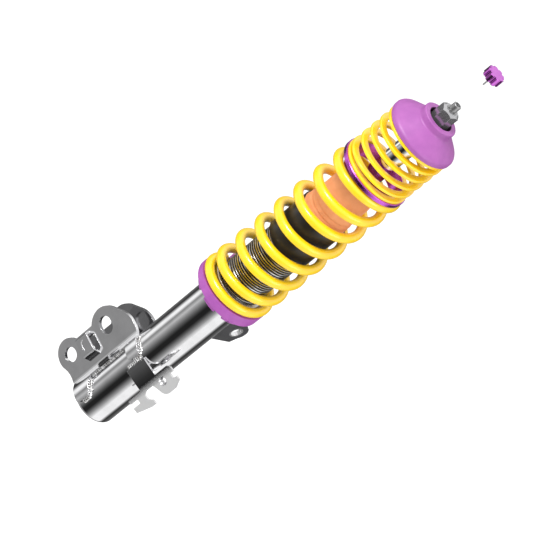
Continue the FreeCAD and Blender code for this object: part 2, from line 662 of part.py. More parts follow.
# ---------------------------------------------------------------- bump stop
def bump_stop():
    bore = ROD_R + CLEAR
    dust_in = DUST_R - DUST_WALL
    return revolve([(bore + 1.5, BUMP_LOW), (dust_in - 2.0, BUMP_LOW), (dust_in, BUMP_LOW + 2.0),
                    (dust_in, DUST_TOP + 0.5), (25.7, DUST_TOP + 1.0), (25.7, 374.2),
                    ("arc", (25.0, 375.0), (25.7, 375.8)), (25.5, 379.2),
                    ("arc", (24.8, 380.0), (25.3, 380.8)), (24.6, 383.5),
                    ("arc", (24.2, 386.0), (24.1, 389.0)), (24.1, 403.0),
                    ("arc", (22.9, 412.5), (19.0, BUMP_TOP)), (bore + 1.5, BUMP_TOP),
                    (bore, BUMP_TOP - 1.5), (bore, BUMP_LOW + 1.5)])


def dust_tube():
    inner = DUST_R - DUST_WALL
    return revolve([(inner, DUST_LOW), (DUST_R - 0.4, DUST_LOW), (DUST_R, DUST_LOW + 0.4),
                    (DUST_R, DUST_TOP - 0.6), (DUST_R - 0.6, DUST_TOP), (inner, DUST_TOP)])


# ---------------------------------------------------------------- rebound adjuster
def rebound_adjuster():
    radius = ROD_BORE_R - FIT
    top = ROD_TIP - TIP_SOCKET_DEEP - 0.2
    rod = revolve([(0, 247.0), (0.8, 247.0), (radius, 254.0), (radius, top - 0.3),
                   (radius - 0.3, top), (0, top)])
    return rod.cut(hexagon(KEY_AF + 0.25, top - 10.0, top + 1))


def knob_profile(lobe_r, valley_r, low, high):
    """Scalloped wheel: lobes joined by concave arcs."""
    step = 360.0 / KNOB_LOBES
    edges = []
    for k in range(KNOB_LOBES):
        at = FRONT_ANGLE - 7.8 + step * k
        a = polar(lobe_r * 0.985, at - step * 0.26, low)
        b = polar(lobe_r, at, low)
        c = polar(lobe_r * 0.985, at + step * 0.26, low)
        d = polar(valley_r, at + step * 0.5, low)
        e = polar(lobe_r * 0.985, at + step * 0.74, low)
        edges.append(Part.Arc(a, b, c).toShape())
        edges.append(Part.Arc(c, d, e).toShape())
    return Part.Face(Part.Wire(edges)).extrude(V(0, 0, high - low))


def adjuster_knob():
    knob = knob_profile(KNOB_R, KNOB_VALLEY_R, KNOB_LOW, KNOB_TOP)
    trim = revolve([(0, KNOB_LOW), (KNOB_R - 0.4, KNOB_LOW), (KNOB_R + 0.1, KNOB_LOW + 0.5),
                    (KNOB_R + 0.1, KNOB_TOP - 0.7), (KNOB_R - 0.6, KNOB_TOP), (0, KNOB_TOP)])
    return knob.common(trim).cut(hexagon(KEY_AF, KNOB_LOW - 1, KNOB_LOW + 5.5))


def knob_key():
    return hexagon(KEY_AF, KEY_LOW, KNOB_LOW + 5.5)


# ---------------------------------------------------------------- build
def build():
    front = clevis_ear().cut(strap_window())
    rear = mirrored_y(clevis_ear())
    hose_plate, hose_nut = hose_parts()
    export(strut_tube(), "strut_tube")
    export(base_cap(), "base_cap")
    export(inner_cylinder(), "inner_cylinder")
    export(base_valve(), "base_valve")
    export(base_valve_shims(), "base_valve_shims")
    export(rod_guide(), "rod_guide")
    export(guide_bush(), "guide_bush")
    export(rod_seal(), "rod_seal")
    export(gland_nut(), "gland_nut")
    export(front, "clevis_plate_front")
    export(rear, "clevis_plate_rear")
    beads = clevis_welds(front)
    export(beads, "clevis_welds")
    export(line_strap(), "line_strap")
    export(hose_plate, "hose_bracket")
    export(hose_nut, "hose_bracket_nut")
    export(hose_weld(hose_plate, beads), "hose_bracket_weld")
    export(stabiliser_tab(), "stabiliser_tab")
    export(stabiliser_tab_weld(), "stabiliser_tab_welds")
    export(main_spring(), "main_spring")
    export(helper_spring(), "helper_spring")
    export(separator_ring(), "spring_separator")
    export(upper_spring_seat(), "upper_spring_seat")
    export(perch_collar(), "perch_collar")
    export(perch_insert(), "perch_insert")
    export(perch_lock_screw(), "perch_lock_screw")
    export(piston_rod(), "piston_rod")
    export(rod_nut(), "rod_nut")
    export(seat_washer(), "seat_washer")
    export(piston(), "piston")
    export(piston_band(), "piston_band")
    export(piston_shims(), "piston_shims")
    export(piston_nut(), "piston_nut")
    export(rebound_stop(), "rebound_stop")
    export(bump_stop(), "bump_stop")
    export(dust_tube(), "dust_tube")
    export(rebound_adjuster(), "rebound_adjuster")
    export(adjuster_knob(), "adjuster_knob")
    export(knob_key(), "knob_key")


build()
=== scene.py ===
"""Visual model of the coilover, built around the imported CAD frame.

Blender works in metres.  Lengths named here are millimetres, which MM converts, unless a comment
says metres.
The strut's axis is Z.  Azimuths are measured about it, and FRONT is the side that faces the camera.
"""
import json
import math
import random

import bmesh
import bpy
from mathutils import Matrix, Vector


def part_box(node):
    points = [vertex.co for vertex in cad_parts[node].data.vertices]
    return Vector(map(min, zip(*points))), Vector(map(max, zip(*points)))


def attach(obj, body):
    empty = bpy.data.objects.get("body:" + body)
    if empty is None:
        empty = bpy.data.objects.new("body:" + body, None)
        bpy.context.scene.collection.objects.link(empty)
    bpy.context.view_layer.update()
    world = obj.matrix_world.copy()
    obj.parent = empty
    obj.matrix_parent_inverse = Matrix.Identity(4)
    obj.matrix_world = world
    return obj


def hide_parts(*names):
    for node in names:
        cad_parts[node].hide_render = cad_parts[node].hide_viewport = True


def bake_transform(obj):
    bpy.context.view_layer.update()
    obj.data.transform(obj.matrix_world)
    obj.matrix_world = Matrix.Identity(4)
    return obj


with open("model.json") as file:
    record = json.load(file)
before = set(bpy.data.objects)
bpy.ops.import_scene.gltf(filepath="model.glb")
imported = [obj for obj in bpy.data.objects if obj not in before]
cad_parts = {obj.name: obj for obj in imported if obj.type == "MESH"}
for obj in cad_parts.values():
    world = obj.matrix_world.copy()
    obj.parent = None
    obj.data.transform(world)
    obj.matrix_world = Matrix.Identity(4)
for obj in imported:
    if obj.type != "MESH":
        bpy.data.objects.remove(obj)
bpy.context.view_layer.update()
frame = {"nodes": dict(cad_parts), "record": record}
NODES = frame["nodes"]
SLOT_OF = {part["node"]: part["material_slot"] for part in frame["record"]["subparts"]}
MM = 0.001

# ------------------------------------------------------------------ the view
FRONT = math.radians(-70.9)          # azimuth from the strut towards the camera
LOOK_DOWN = math.radians(31.7)
ROLL = math.radians(39.0)
DISTANCE = 2.44                      # metres, like the next two and CLIP
AIM_HEIGHT = 0.277
AIM_ASIDE = 0.0158
LENS = 159.7
SENSOR = 36.0
CLIP = (0.05, 60.0)

# ------------------------------------------------------------------ sizes that the pieces share, mm
TUBE_R = 25.5
TUBE_WALL = 2.5
TUBE_TOP = 352.0
TUBE_HOLE_R = 20.25
TUBE_ROUND = 5.0                     # outer radius of the closed bottom edge
TUBE_EDGE = 0.8
THREAD_LOW = 217.0
THREAD_HIGH = 349.0
THREAD_PITCH = 3.0
THREAD_DEPTH = 0.95
THREAD_GROOVE_SHADE = (0.30, 0.12)           # painted shade: the grooves are painted dark this far below the crests, then the painted shade fades

MAIN_R = 36.0
MAIN_WIRE_R = 5.1
MAIN_TURNS = (-0.35, 7.65)
MAIN_END_PITCH = 16.8
MAIN_PITCH = 28.85
MAIN_KNEE = 0.75                     # turn where the pitch opens
MAIN_EASE_LOW = 0.15                 # half the turns over which the pitch opens
MAIN_EASE_HIGH = 0.1                 # half the turns over which the top coil closes
MAIN_HELD = 0.35                     # the wire lies on the perch up to this turn

HELPER_R_IN = 31.0
HELPER_R_OUT = 38.5
HELPER_H = 3.3
HELPER_CORNER = 0.95
HELPER_TURNS = (-0.3, 5.35)
HELPER_PITCH = 12.9
HELPER_KNEE = 0.42
HELPER_EASE = 0.12                   # half the turns over which the pitch opens or closes
HELPER_HELD = HELPER_KNEE - 0.1      # the wire lies on the separator up to this turn
WIRE_CHAMFER = 0.8
WIRE_END = 0.86                      # size of the wire's cut end, as a share of its section

WELD_STEP = 0.35
WELD_RIPPLE = 2.6                    # ripple pitch of the big beads
FINE_RIPPLE = 1.6
WELD_SWELL = (0.88, 1.12)            # range of the ripples' size
WELD_WAVE = 0.2                      # height of a ripple, as a share of the bead's radius
WELD_LAG = 0.45                      # how far a ripple's flanks lag, in pitches
WELD_FLAT = 0.85                     # height of a bead, as a share of its radius
WELD_TIP = 0.02                      # smallest taper at a bead's ends, squared

TAB_AZIMUTH = math.radians(74.8)     # stabiliser-link tab
TAB_T = 5.0
TAB_HOLE_REACH = 62.2
TAB_HOLE_Z = 164.8
TAB_RING = (7.3, 7.6)                # bright metal round the hole, then paint
SEAT_MOUTH_SHADE = (13.75, 14.05)          # painted shade: the upper seat's bore is painted dark, fading out by its face
HOSE_SHADE_FADE = (24.0, 33.0)             # over this reach the bracket turns darker, rougher and less metallic: painted shade for its dimmer far part
TIP_SOCKET = (544.0, 544.6)          # the rod's tip changes finish over this height
HOSE_AZIMUTH = math.radians(8.5)     # direction in which the brake-hose bracket leaves the tube

# ------------------------------------------------------------------ tolerances
CREASE = 28                          # degrees; sharper edges stay hard
MERGE = 2e-6                         # metres


def polar(radius, angle, z=0.0):
    return Vector((radius * math.cos(angle), radius * math.sin(angle), z))


LIMITS = {node: [corner[2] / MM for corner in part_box(node)]
          for node in ("main_spring", "helper_spring", "bump_stop")}


def low_z(node):
    return LIMITS[node][0]


def high_z(node):
    return LIMITS[node][1]


def make_camera():
    up, toward = Vector((0, 0, 1)), polar(1, FRONT)
    aside = up.cross(toward)
    back = toward * math.cos(LOOK_DOWN) + up * math.sin(LOOK_DOWN)
    over = up * math.cos(LOOK_DOWN) - toward * math.sin(LOOK_DOWN)
    right = over * math.cos(ROLL) + aside * math.sin(ROLL)
    top = over * math.sin(ROLL) - aside * math.cos(ROLL)
    aim = Vector((0, 0, AIM_HEIGHT)) + aside * AIM_ASIDE
    data = bpy.data.cameras.new("camera")
    data.lens = LENS
    data.sensor_width = SENSOR
    data.clip_start, data.clip_end = CLIP
    cam = bpy.data.objects.new("camera", data)
    cam.matrix_world = Matrix.Translation(aim + back * DISTANCE) @ Matrix(
        (right, top, back)).transposed().to_4x4()
    bpy.context.scene.collection.objects.link(cam)
    bpy.context.scene.camera = cam


# ------------------------------------------------------------------ shader helpers
class Shader:
    """A small wrapper that adds and links nodes of one material or world."""

    def __init__(self, tree, fresh=True):
        self.tree = tree
        if fresh:
            tree.nodes.clear()

    def add(self, kind, **values):
        node = self.tree.nodes.new(kind)
        for key, value in values.items():
            if key in node.bl_rna.properties:
                setattr(node, key, value)
            else:
                node.inputs[key.replace("_", " ")].default_value = value
        return node

    def link(self, a, b):
        self.tree.links.new(a, b)

    def place(self):
        """Object coordinates, in metres in the row frame."""
        return self.add("ShaderNodeTexCoord").outputs["Object"]

    def span(self, value, low, high, to_low=0.0, to_high=1.0):
        node = self.add("ShaderNodeMapRange", From_Min=low, From_Max=high, To_Min=to_low,
                        To_Max=to_high)
        self.link(value, node.inputs["Value"])
        return node.outputs["Result"]

    def maths(self, operation, a, b=0.0):
        """Result of a maths node on a socket and a number or a second socket."""
        node = self.add("ShaderNodeMath", operation=operation)
        self.link(a, node.inputs[0])
        if isinstance(b, bpy.types.NodeSocket):
            self.link(b, node.inputs[1])
        else:
            node.inputs[1].default_value = b
        return node.outputs[0]

    def vector(self, operation, a, b=None):
        node = self.add("ShaderNodeVectorMath", operation=operation)
        self.link(a, node.inputs[0])
        if b is not None:
            node.inputs[1].default_value = b
        return node

    def from_axis(self, point, axis):
        """Distance from the line through point along the unit vector axis."""
        away = self.vector("SUBTRACT", self.place(), point).outputs[0]
        across = self.vector("CROSS_PRODUCT", away, axis).outputs[0]
        return self.vector("LENGTH", across).outputs["Value"]

    def from_z(self):
        """Distance from the strut's axis."""
        return self.from_axis((0, 0, 0), (0, 0, 1))

    def along(self, direction):
        """Distance from the origin along a unit vector."""
        return self.vector("DOT_PRODUCT", self.place(), direction).outputs["Value"]


def ramp_stops(ramp, stops):
    elements = ramp.color_ramp.elements
    while len(elements) > 1:
        elements.remove(elements[0])
    elements[0].position = stops[0][0]
    elements[0].color = (*stops[0][1], 1)
    for at, color in stops[1:]:
        elements.new(at).color = (*color, 1)


def rgb(r, g, b):
    """sRGB 0..255 to linear."""
    return tuple(((c / 255 + 0.055) / 1.055) ** 2.4 if c > 10 else c / 255 / 12.92 for c in (r, g, b))


BROAD_GRAIN = 0.06                   # scale of the broad stains, as a share of the fine grain
STAIN = (0.35, 0.65)                 # noise values between which the two colours blend
GRAIN = (0.3, 0.7)                   # noise values that give the least and the most roughness
BUMP_DEPTH = 0.0002


def surface(name, color, rough, metallic=0.0, color2=None, grain=400.0, rough_range=0.05,
            bump=0.02, stretch=(1, 1, 1), edge=0.0, **extra):
    """Principled material with noise in colour, roughness and height."""
    material = bpy.data.materials.new(name)
    material.use_nodes = True
    shader = Shader(material.node_tree)
    out = shader.add("ShaderNodeOutputMaterial")
    principled = shader.add("ShaderNodeBsdfPrincipled", Metallic=metallic, **extra)
    shader.link(principled.outputs["BSDF"], out.inputs["Surface"])
    where = shader.place()
    scaled = shader.add("ShaderNodeMapping", Scale=stretch)
    shader.link(where, scaled.inputs["Vector"])
    fine = shader.add("ShaderNodeTexNoise", Scale=grain, Detail=4.0, Roughness=0.6)
    broad = shader.add("ShaderNodeTexNoise", Scale=grain * BROAD_GRAIN, Detail=3.0, Roughness=0.5)
    shader.link(scaled.outputs["Vector"], fine.inputs["Vector"])
    shader.link(where, broad.inputs["Vector"])
    tint = shader.add("ShaderNodeValToRGB")
    second = color2 or tuple(c * 0.9 for c in color)
    ramp_stops(tint, [(STAIN[0], second), (STAIN[1], color)])
    shader.link(broad.outputs["Fac"], tint.inputs["Fac"])
    shader.link(tint.outputs["Color"], principled.inputs["Base Color"])
    gloss = shader.span(fine.outputs["Fac"], *GRAIN, max(rough - rough_range, 0.0), rough + rough_range)
    shader.link(gloss, principled.inputs["Roughness"])
    height = shader.add("ShaderNodeBump", Strength=bump, Distance=BUMP_DEPTH)
    shader.link(fine.outputs["Fac"], height.inputs["Height"])
    if edge:
        soft = shader.add("ShaderNodeBevel", samples=4, Radius=edge)
        shader.link(soft.outputs["Normal"], height.inputs["Normal"])
    shader.link(height.outputs["Normal"], principled.inputs["Normal"])
    return material


def overlay(material, mask, color, rough, metallic=None):
    """Lay a second colour and roughness over a material where mask, a function of its shader, is 1."""
    shader = Shader(material.node_tree, fresh=False)
    principled = next(n for n in material.node_tree.nodes if n.type == "BSDF_PRINCIPLED")
    share = mask(shader)
    layers = [("Base Color", "RGBA", (*color, 1)), ("Roughness", "FLOAT", rough)]
    if metallic is not None:
        layers.append(("Metallic", "FLOAT", metallic))
    for socket, kind, value in layers:
        mix = shader.add("ShaderNodeMix", data_type=kind)
        ports = [i for i in mix.inputs if i.enabled]
        shader.link(share, ports[0])
        if principled.inputs[socket].is_linked:
            shader.link(principled.inputs[socket].links[0].from_socket, ports[1])
        else:
            ports[1].default_value = principled.inputs[socket].default_value
        ports[2].default_value = value
        shader.link(next(o for o in mix.outputs if o.enabled), principled.inputs[socket])
    return material


# ------------------------------------------------------------------ materials
STEEL = surface("polished_stainless", (0.80, 0.80, 0.81), 0.07, 1.0, grain=900, rough_range=0.02,
                bump=0.008, edge=0.0004)
BRIGHT = surface("bright_steel", (0.74, 0.74, 0.75), 0.16, 1.0, grain=1500, rough_range=0.05, bump=0.03,
                 edge=0.0003)
NUT = surface("nut_steel", (0.50, 0.50, 0.51), 0.20, 0.85, color2=(0.42, 0.42, 0.43), grain=1300,
              rough_range=0.05, bump=0.03, edge=0.0005)
# painted shade: a darker copy of the polished stainless, for the rear ear
SHADED_REAR_EAR = surface("shaded_stainless", (0.36, 0.36, 0.37), 0.09, 1.0, grain=900, rough_range=0.02,
                   bump=0.01, edge=0.0004)
# painted shade: near-black steel that darkens parts sitting in dark holes and bores
SHADE_DARK = surface("painted_shade_dark", (0.04, 0.04, 0.045), 0.35, 0.7, grain=1500, edge=0.0002)
PLAIN = surface("turned_steel", (0.60, 0.60, 0.61), 0.28, 1.0, grain=1200, stretch=(1, 1, 12), bump=0.05,
                edge=0.0003)
CHROME = surface("hard_chrome", (0.86, 0.87, 0.88), 0.04, 1.0, grain=1500, rough_range=0.015, bump=0.004)
YELLOW = surface("yellow_powder_coat", rgb(255, 214, 14), 0.30, color2=rgb(252, 206, 8), grain=700,
                 bump=0.04, Coat_Weight=0.8, Coat_Roughness=0.12)
PURPLE = surface("purple_composite", rgb(170, 86, 172), 0.40, color2=rgb(160, 78, 164), grain=1600,
                 bump=0.04, edge=0.0004)
SEAT = surface("orchid_composite", rgb(164, 90, 164), 0.42, color2=rgb(156, 84, 158), grain=1600, bump=0.05)
ANODISED = surface("purple_anodised", rgb(205, 105, 215), 0.26, 1.0, color2=rgb(195, 95, 205), grain=1400,
                   rough_range=0.05, bump=0.01, edge=0.0003)
KNOB = surface("knob_anodised", rgb(216, 122, 222), 0.20, 1.0, color2=rgb(206, 110, 214), grain=1800,
               rough_range=0.06, bump=0.05, edge=0.0004)
SALMON = surface("salmon_elastomer", rgb(232, 166, 118), 0.75, color2=rgb(224, 155, 106), grain=1500,
                 bump=0.25)
BLACK = surface("black_dust_tube", rgb(34, 33, 34), 0.34, color2=rgb(28, 27, 28), grain=1300, bump=0.05)
PAINT = surface("satin_black_paint", rgb(58, 58, 60), 0.42, color2=rgb(48, 48, 50), grain=1200, bump=0.08,
                edge=0.0004)
RUBBER = surface("black_rubber", rgb(25, 25, 25), 0.55, grain=1500)
BRONZE = surface("bronze", (0.65, 0.42, 0.2), 0.3, 1.0)
WELD = surface("weld_metal", (0.86, 0.86, 0.86), 0.14, 1.0, color2=(0.5, 0.49, 0.48), grain=2500,
               rough_range=0.08, bump=0.12)
THREAD = surface("rolled_thread", (0.62, 0.62, 0.61), 0.18, 1.0, grain=1500, rough_range=0.05, bump=0.03)
HOSE = surface("bracket_stainless", (0.82, 0.82, 0.83), 0.09, 1.0, grain=900, rough_range=0.03, bump=0.01,
               edge=0.0004)



def inside(shader, edges):
    """1 nearer the strut's axis than the first radius, 0 past the second."""
    return shader.span(shader.from_z(), edges[0] * MM, edges[1] * MM, 1.0, 0.0)


def tab_ring(shader):
    hole = polar(TAB_HOLE_REACH * MM, TAB_AZIMUTH, TAB_HOLE_Z * MM)
    away = shader.from_axis(hole, polar(1, TAB_AZIMUTH + math.pi / 2))
    return shader.span(away, TAB_RING[0] * MM, TAB_RING[1] * MM, 1.0, 0.0)


def hose_shade_reach(shader):
    return shader.span(shader.along(polar(1, HOSE_AZIMUTH)), HOSE_SHADE_FADE[0] * MM, HOSE_SHADE_FADE[1] * MM)


def above_socket(shader):
    return shader.span(shader.along((0, 0, 1)), TIP_SOCKET[0] * MM, TIP_SOCKET[1] * MM)


# painted shade: the thread's grooves are painted near-black below the crests, fading towards them
SHADED_ROOTS = [TUBE_R - depth for depth in THREAD_GROOVE_SHADE]
overlay(THREAD, lambda shader: inside(shader, SHADED_ROOTS), (0.035, 0.032, 0.03), 0.38)
# painted shade: dark purple inside the upper seat's bore, where shade falls in the recess
overlay(SEAT, lambda shader: inside(shader, SEAT_MOUTH_SHADE), rgb(58, 24, 56), 0.6)
# painted shade: the bracket's far part is painted darker and duller than its near part
overlay(HOSE, hose_shade_reach, (0.74, 0.74, 0.74), 0.45, 0.5)
ROD = CHROME.copy()
ROD.name = "rod_chrome"
overlay(ROD, above_socket, (0.34, 0.34, 0.34), 0.25, 0.8)
TAB = PAINT.copy()
TAB.name = "tab_paint"
overlay(TAB, tab_ring, (0.78, 0.78, 0.78), 0.2, 1.0)

LOOKS = {
    "polished_stainless": STEEL, "plain_steel": PLAIN, "zinc_plate": BRIGHT, "weld_metal": WELD,
    "hard_chrome": CHROME, "sintered_iron": PLAIN, "plain_aluminium": BRIGHT, "bronze": BRONZE,
    "black_rubber": RUBBER, "slide_band": RUBBER, "black_paint": PAINT, "yellow_powder_coat": YELLOW,
    "purple_anodised": ANODISED, "purple_composite": PURPLE, "lavender_composite": SEAT,
    "salmon_elastomer": SALMON, "black_plastic": BLACK}
# painted shade: the lock screw, rebound adjuster and seat washer get near-black steel because their hole
# and bores lie in shade
OWN_LOOKS = {"rod_nut": NUT, "hose_bracket": HOSE, "stabiliser_tab": TAB, "adjuster_knob": KNOB,
             "clevis_plate_rear": SHADED_REAR_EAR, "perch_lock_screw": SHADE_DARK, "rebound_adjuster": SHADE_DARK,
             "seat_washer": SHADE_DARK, "piston_rod": ROD}


def dress_cad():
    for name, node in NODES.items():
        node.data.materials.clear()
        node.data.materials.append(OWN_LOOKS.get(name) or LOOKS[SLOT_OF[name]])
        node.data.shade_smooth()
        node.data.set_sharp_from_angle(angle=math.radians(CREASE))


# ------------------------------------------------------------------ mesh helpers
def ring_faces(rings, around, wrap=False, caps=True):
    """Faces between consecutive rings of points, with the two end rings filled."""
    faces = []
    for r in range(rings if wrap else rings - 1):
        a, b = r * around, (r + 1) % rings * around
        faces += [(a + k, a + (k + 1) % around, b + (k + 1) % around, b + k) for k in range(around)]
    if caps and not wrap:
        faces.append(tuple(reversed(range(around))))
        faces.append(tuple(range((rings - 1) * around, rings * around)))
    return faces


def piece(name, verts, faces, materials, nodes, body=None, crease=CREASE):
    """Mesh object from points in millimetres that stands for CAD nodes, riding on their body."""
    mesh = bpy.data.meshes.new(name)
    mesh.from_pydata([Vector(v) * MM for v in verts], [], faces)
    tidy = bmesh.new()
    tidy.from_mesh(mesh)
    bmesh.ops.remove_doubles(tidy, verts=tidy.verts, dist=MERGE)
    bmesh.ops.dissolve_degenerate(tidy, edges=tidy.edges, dist=MERGE)
    bmesh.ops.recalc_face_normals(tidy, faces=tidy.faces)
    tidy.to_mesh(mesh)
    tidy.free()
    for material in materials:
        mesh.materials.append(material)
    mesh.shade_smooth()
    mesh.set_sharp_from_angle(angle=math.radians(crease))
    obj = bpy.data.objects.new(name, mesh)
    bpy.context.scene.collection.objects.link(obj)
    if body:
        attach(obj, body)
    if nodes:
        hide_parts(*nodes)
    return obj


def lathe(name, profile, material, nodes, body, segments=128):
    """Ring-shaped solid from a closed (r, z) profile."""
    verts = [polar(r, 2 * math.pi * k / segments, z) for k in range(segments) for r, z in profile]
    return piece(name, verts, ring_faces(segments, len(profile), wrap=True), [material], nodes, body)


def arc(centre, radius, start, end, steps):
    """Points of an (r, z) arc; angles in degrees."""
    angles = [math.radians(start + (end - start) * k / steps) for k in range(steps + 1)]
    return [(centre[0] + radius * math.cos(a), centre[1] + radius * math.sin(a)) for a in angles]


def smooth(t):
    t = min(max(t, 0.0), 1.0)
    return t * t * (3 - 2 * t)


# ------------------------------------------------------------------ threaded tube
THREAD_PROFILE = [(0.0, 0.0), (0.42, 0.0), (1.30, 1.0), (1.62, 1.0), (2.55, 0.0)]


def thread_rows(turn):
    """Points (r, z) of the helical thread where the azimuth is this share of a turn."""
    count = int((THREAD_HIGH - THREAD_LOW) / THREAD_PITCH)
    rows = []
    for k in range(-1, count + 1):
        for offset, depth in THREAD_PROFILE:
            z = THREAD_LOW + THREAD_PITCH * (k + turn) + offset
            z = min(max(z, THREAD_LOW), THREAD_HIGH)
            run_out = smooth(min(z - THREAD_LOW, THREAD_HIGH - z) / THREAD_PITCH)
            rows.append((TUBE_R - THREAD_DEPTH * depth * run_out, z))
    return rows


def make_tube(segments=144):
    inner_r = TUBE_R - TUBE_WALL
    centre = (TUBE_R - TUBE_ROUND, TUBE_ROUND)
    bottom = [(TUBE_HOLE_R, TUBE_WALL), (TUBE_HOLE_R, 0.0)] + arc(centre, TUBE_ROUND, -90, 0, 8)
    top = [(TUBE_R, TUBE_TOP - TUBE_EDGE), (TUBE_R - TUBE_EDGE, TUBE_TOP), (inner_r, TUBE_TOP)]
    inside = list(reversed(arc(centre, TUBE_ROUND - TUBE_WALL, -90, 0, 6)))
    verts = []
    for k in range(segments + 1):
        outline = bottom + thread_rows(k / segments) + top + inside
        verts += [polar(r, 2 * math.pi * k / segments, z) for r, z in outline]
    around = len(outline)
    faces = ring_faces(segments + 1, around, caps=False)
    tube = piece("tube_with_thread", verts, faces, [STEEL, THREAD], ["strut_tube"], "strut")
    for face in tube.data.polygons:
        z, r = face.center.z / MM, math.hypot(face.center.x, face.center.y) / MM
        face.material_index = int(THREAD_LOW < z < THREAD_HIGH and r > (inner_r + TUBE_R) / 2)
    return tube


# ------------------------------------------------------------------ springs
def ramp(turn, low, high):
    """Share of a change of pitch gained between two turn counts, easing in linearly."""
    if turn <= low:
        return 0.0
    if turn >= high:
        return (high - low) / 2 + turn - high
    return (turn - low) ** 2 / (2 * (high - low))


def main_height(turn):
    bottom = low_z("main_spring") + MAIN_WIRE_R - MAIN_END_PITCH * MAIN_TURNS[0]
    top = high_z("main_spring") - MAIN_WIRE_R
    flat = MAIN_KNEE + (top - bottom - MAIN_END_PITCH * MAIN_KNEE) / MAIN_PITCH
    gained = ramp(turn, MAIN_KNEE - MAIN_EASE_LOW, MAIN_KNEE + MAIN_EASE_LOW)
    opening = (MAIN_PITCH - MAIN_END_PITCH) * gained
    closing = MAIN_PITCH * ramp(turn, flat - MAIN_EASE_HIGH, flat + MAIN_EASE_HIGH)
    return bottom + MAIN_END_PITCH * turn + opening - closing


def helper_height(turn):
    bottom = low_z("helper_spring") + HELPER_H / 2
    top = high_z("helper_spring") - HELPER_H / 2
    flat = HELPER_KNEE + (top - bottom) / HELPER_PITCH
    opening = ramp(turn, HELPER_KNEE - HELPER_EASE, HELPER_KNEE + HELPER_EASE)
    closing = ramp(turn, flat - HELPER_EASE, flat + HELPER_EASE)
    return bottom + HELPER_PITCH * (opening - closing)


def round_wire(scale, segments=36):
    angles = [2 * math.pi * k / segments for k in range(segments)]
    return [(MAIN_WIRE_R * scale * math.cos(a), MAIN_WIRE_R * scale * math.sin(a)) for a in angles]


def flat_wire(scale, corner=HELPER_CORNER):
    """Rectangle with round corners, across the radius and the height."""
    half_w = (HELPER_R_OUT - HELPER_R_IN) / 2 * scale
    half_h = HELPER_H / 2 * scale
    points = []
    for start, sx, sy in ((0, 1, 1), (90, -1, 1), (180, -1, -1), (270, 1, -1)):
        centre = (sx * (half_w - corner), sy * (half_h - corner))
        points += arc(centre, corner, start, start + 90, 4)
    return points


def coil(name, node, radius, turns, height, wire, held, steps=72):
    """Coiled wire; a share from its foot to its head is worked out for each cross-section and counted, but
    not put on the mesh.
    """
    count = int(round((turns[1] - turns[0]) * steps))
    stations = [(turns[0] + (turns[1] - turns[0]) * k / count, 1.0) for k in range(count + 1)]
    one_turn = 2 * math.pi * radius
    chamfer = WIRE_CHAMFER / one_turn
    stations = ([(turns[0], WIRE_END), (turns[0] + chamfer, 1.0)] + stations[1:-1]
                + [(turns[1] - chamfer, 1.0), (turns[1], WIRE_END)])
    near = 0.01                      # turns to either side, for the slope
    foot, head = height(held), height(turns[1])
    verts, weights = [], []
    for turn, scale in stations:
        angle = FRONT + 2 * math.pi * turn
        z = height(turn)
        slope = (height(turn + near) - height(turn - near)) / (2 * near) / one_turn
        outward, across = polar(1, angle), Vector((0, 0, 1)) - polar(slope, angle + math.pi / 2)
        across.normalize()
        ring = [polar(radius, angle, z) + outward * a + across * b for a, b in wire(scale)]
        verts += ring
        share = min(max((z - foot) / (head - foot), 0.0), 1.0)
        weights += [share if turn > held else 0.0] * len(ring)
    obj = piece(name, verts, ring_faces(len(stations), len(ring)), [YELLOW], [node], crease=40)
    if len(obj.data.vertices) != len(weights):
        raise RuntimeError("the coil's points were merged, so its weights no longer match")
    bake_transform(obj)
    return obj


def make_springs():
    coil("main_coil", "main_spring", MAIN_R, MAIN_TURNS, main_height, round_wire,
         MAIN_HELD)
    coil("helper_coil", "helper_spring", (HELPER_R_IN + HELPER_R_OUT) / 2, HELPER_TURNS, helper_height,
         flat_wire, HELPER_HELD)


# ------------------------------------------------------------------ weld beads
def resample(route, step, rounds=12):
    """Points every step millimetres along a route, with its corners eased."""
    points = []
    for a, b in zip(route, route[1:]):
        count = max(1, round((b - a).length / step))
        points += [a.lerp(b, k / count) for k in range(count)]
    points.append(route[-1])
    for _ in range(rounds):
        eased = [(points[k - 1] + points[k] * 2 + points[k + 1]) / 4 for k in range(1, len(points) - 1)]
        points = [points[0]] + eased + [points[-1]]
    return points


def weld_rings(route, radius, pitch, dice, sides=18):
    """Rippled bead: each ripple swells, lags behind at its flanks and varies a little."""
    path = resample(route, WELD_STEP)
    length = WELD_STEP * (len(path) - 1)
    rings, swell = [], 1.0
    for k, point in enumerate(path):
        here = WELD_STEP * k
        along = (path[min(k + 1, len(path) - 1)] - path[max(k - 1, 0)]).normalized()
        outward = Vector((point.x, point.y, 0)).normalized()
        side = along.cross(outward).normalized()
        if k % round(pitch / WELD_STEP) == 0:
            swell = dice.uniform(*WELD_SWELL)
        ripple = swell + WELD_WAVE * math.cos(2 * math.pi * here / pitch)
        end = min(here, length - here) / radius
        taper = math.sqrt(max(1 - (1 - min(end, 1.0)) ** 2, WELD_TIP))
        size = radius * ripple * taper
        for j in range(sides):
            a = 2 * math.pi * j / sides
            lag = -WELD_LAG * pitch * math.sin(a) ** 2
            around = outward * WELD_FLAT * math.cos(a) + side * math.sin(a)
            rings.append(point + around * size + along * lag)
    return rings, ring_faces(len(path), sides)


def make_welds(name, node, beads, material, seed):
    dice = random.Random(seed)
    verts, faces = [], []
    for route, radius, pitch in beads:
        more, their_faces = weld_rings(route, radius, pitch, dice)
        faces += [tuple(i + len(verts) for i in face) for face in their_faces]
        verts += more
    piece(name, verts, faces, [material], [node], "strut", crease=60)


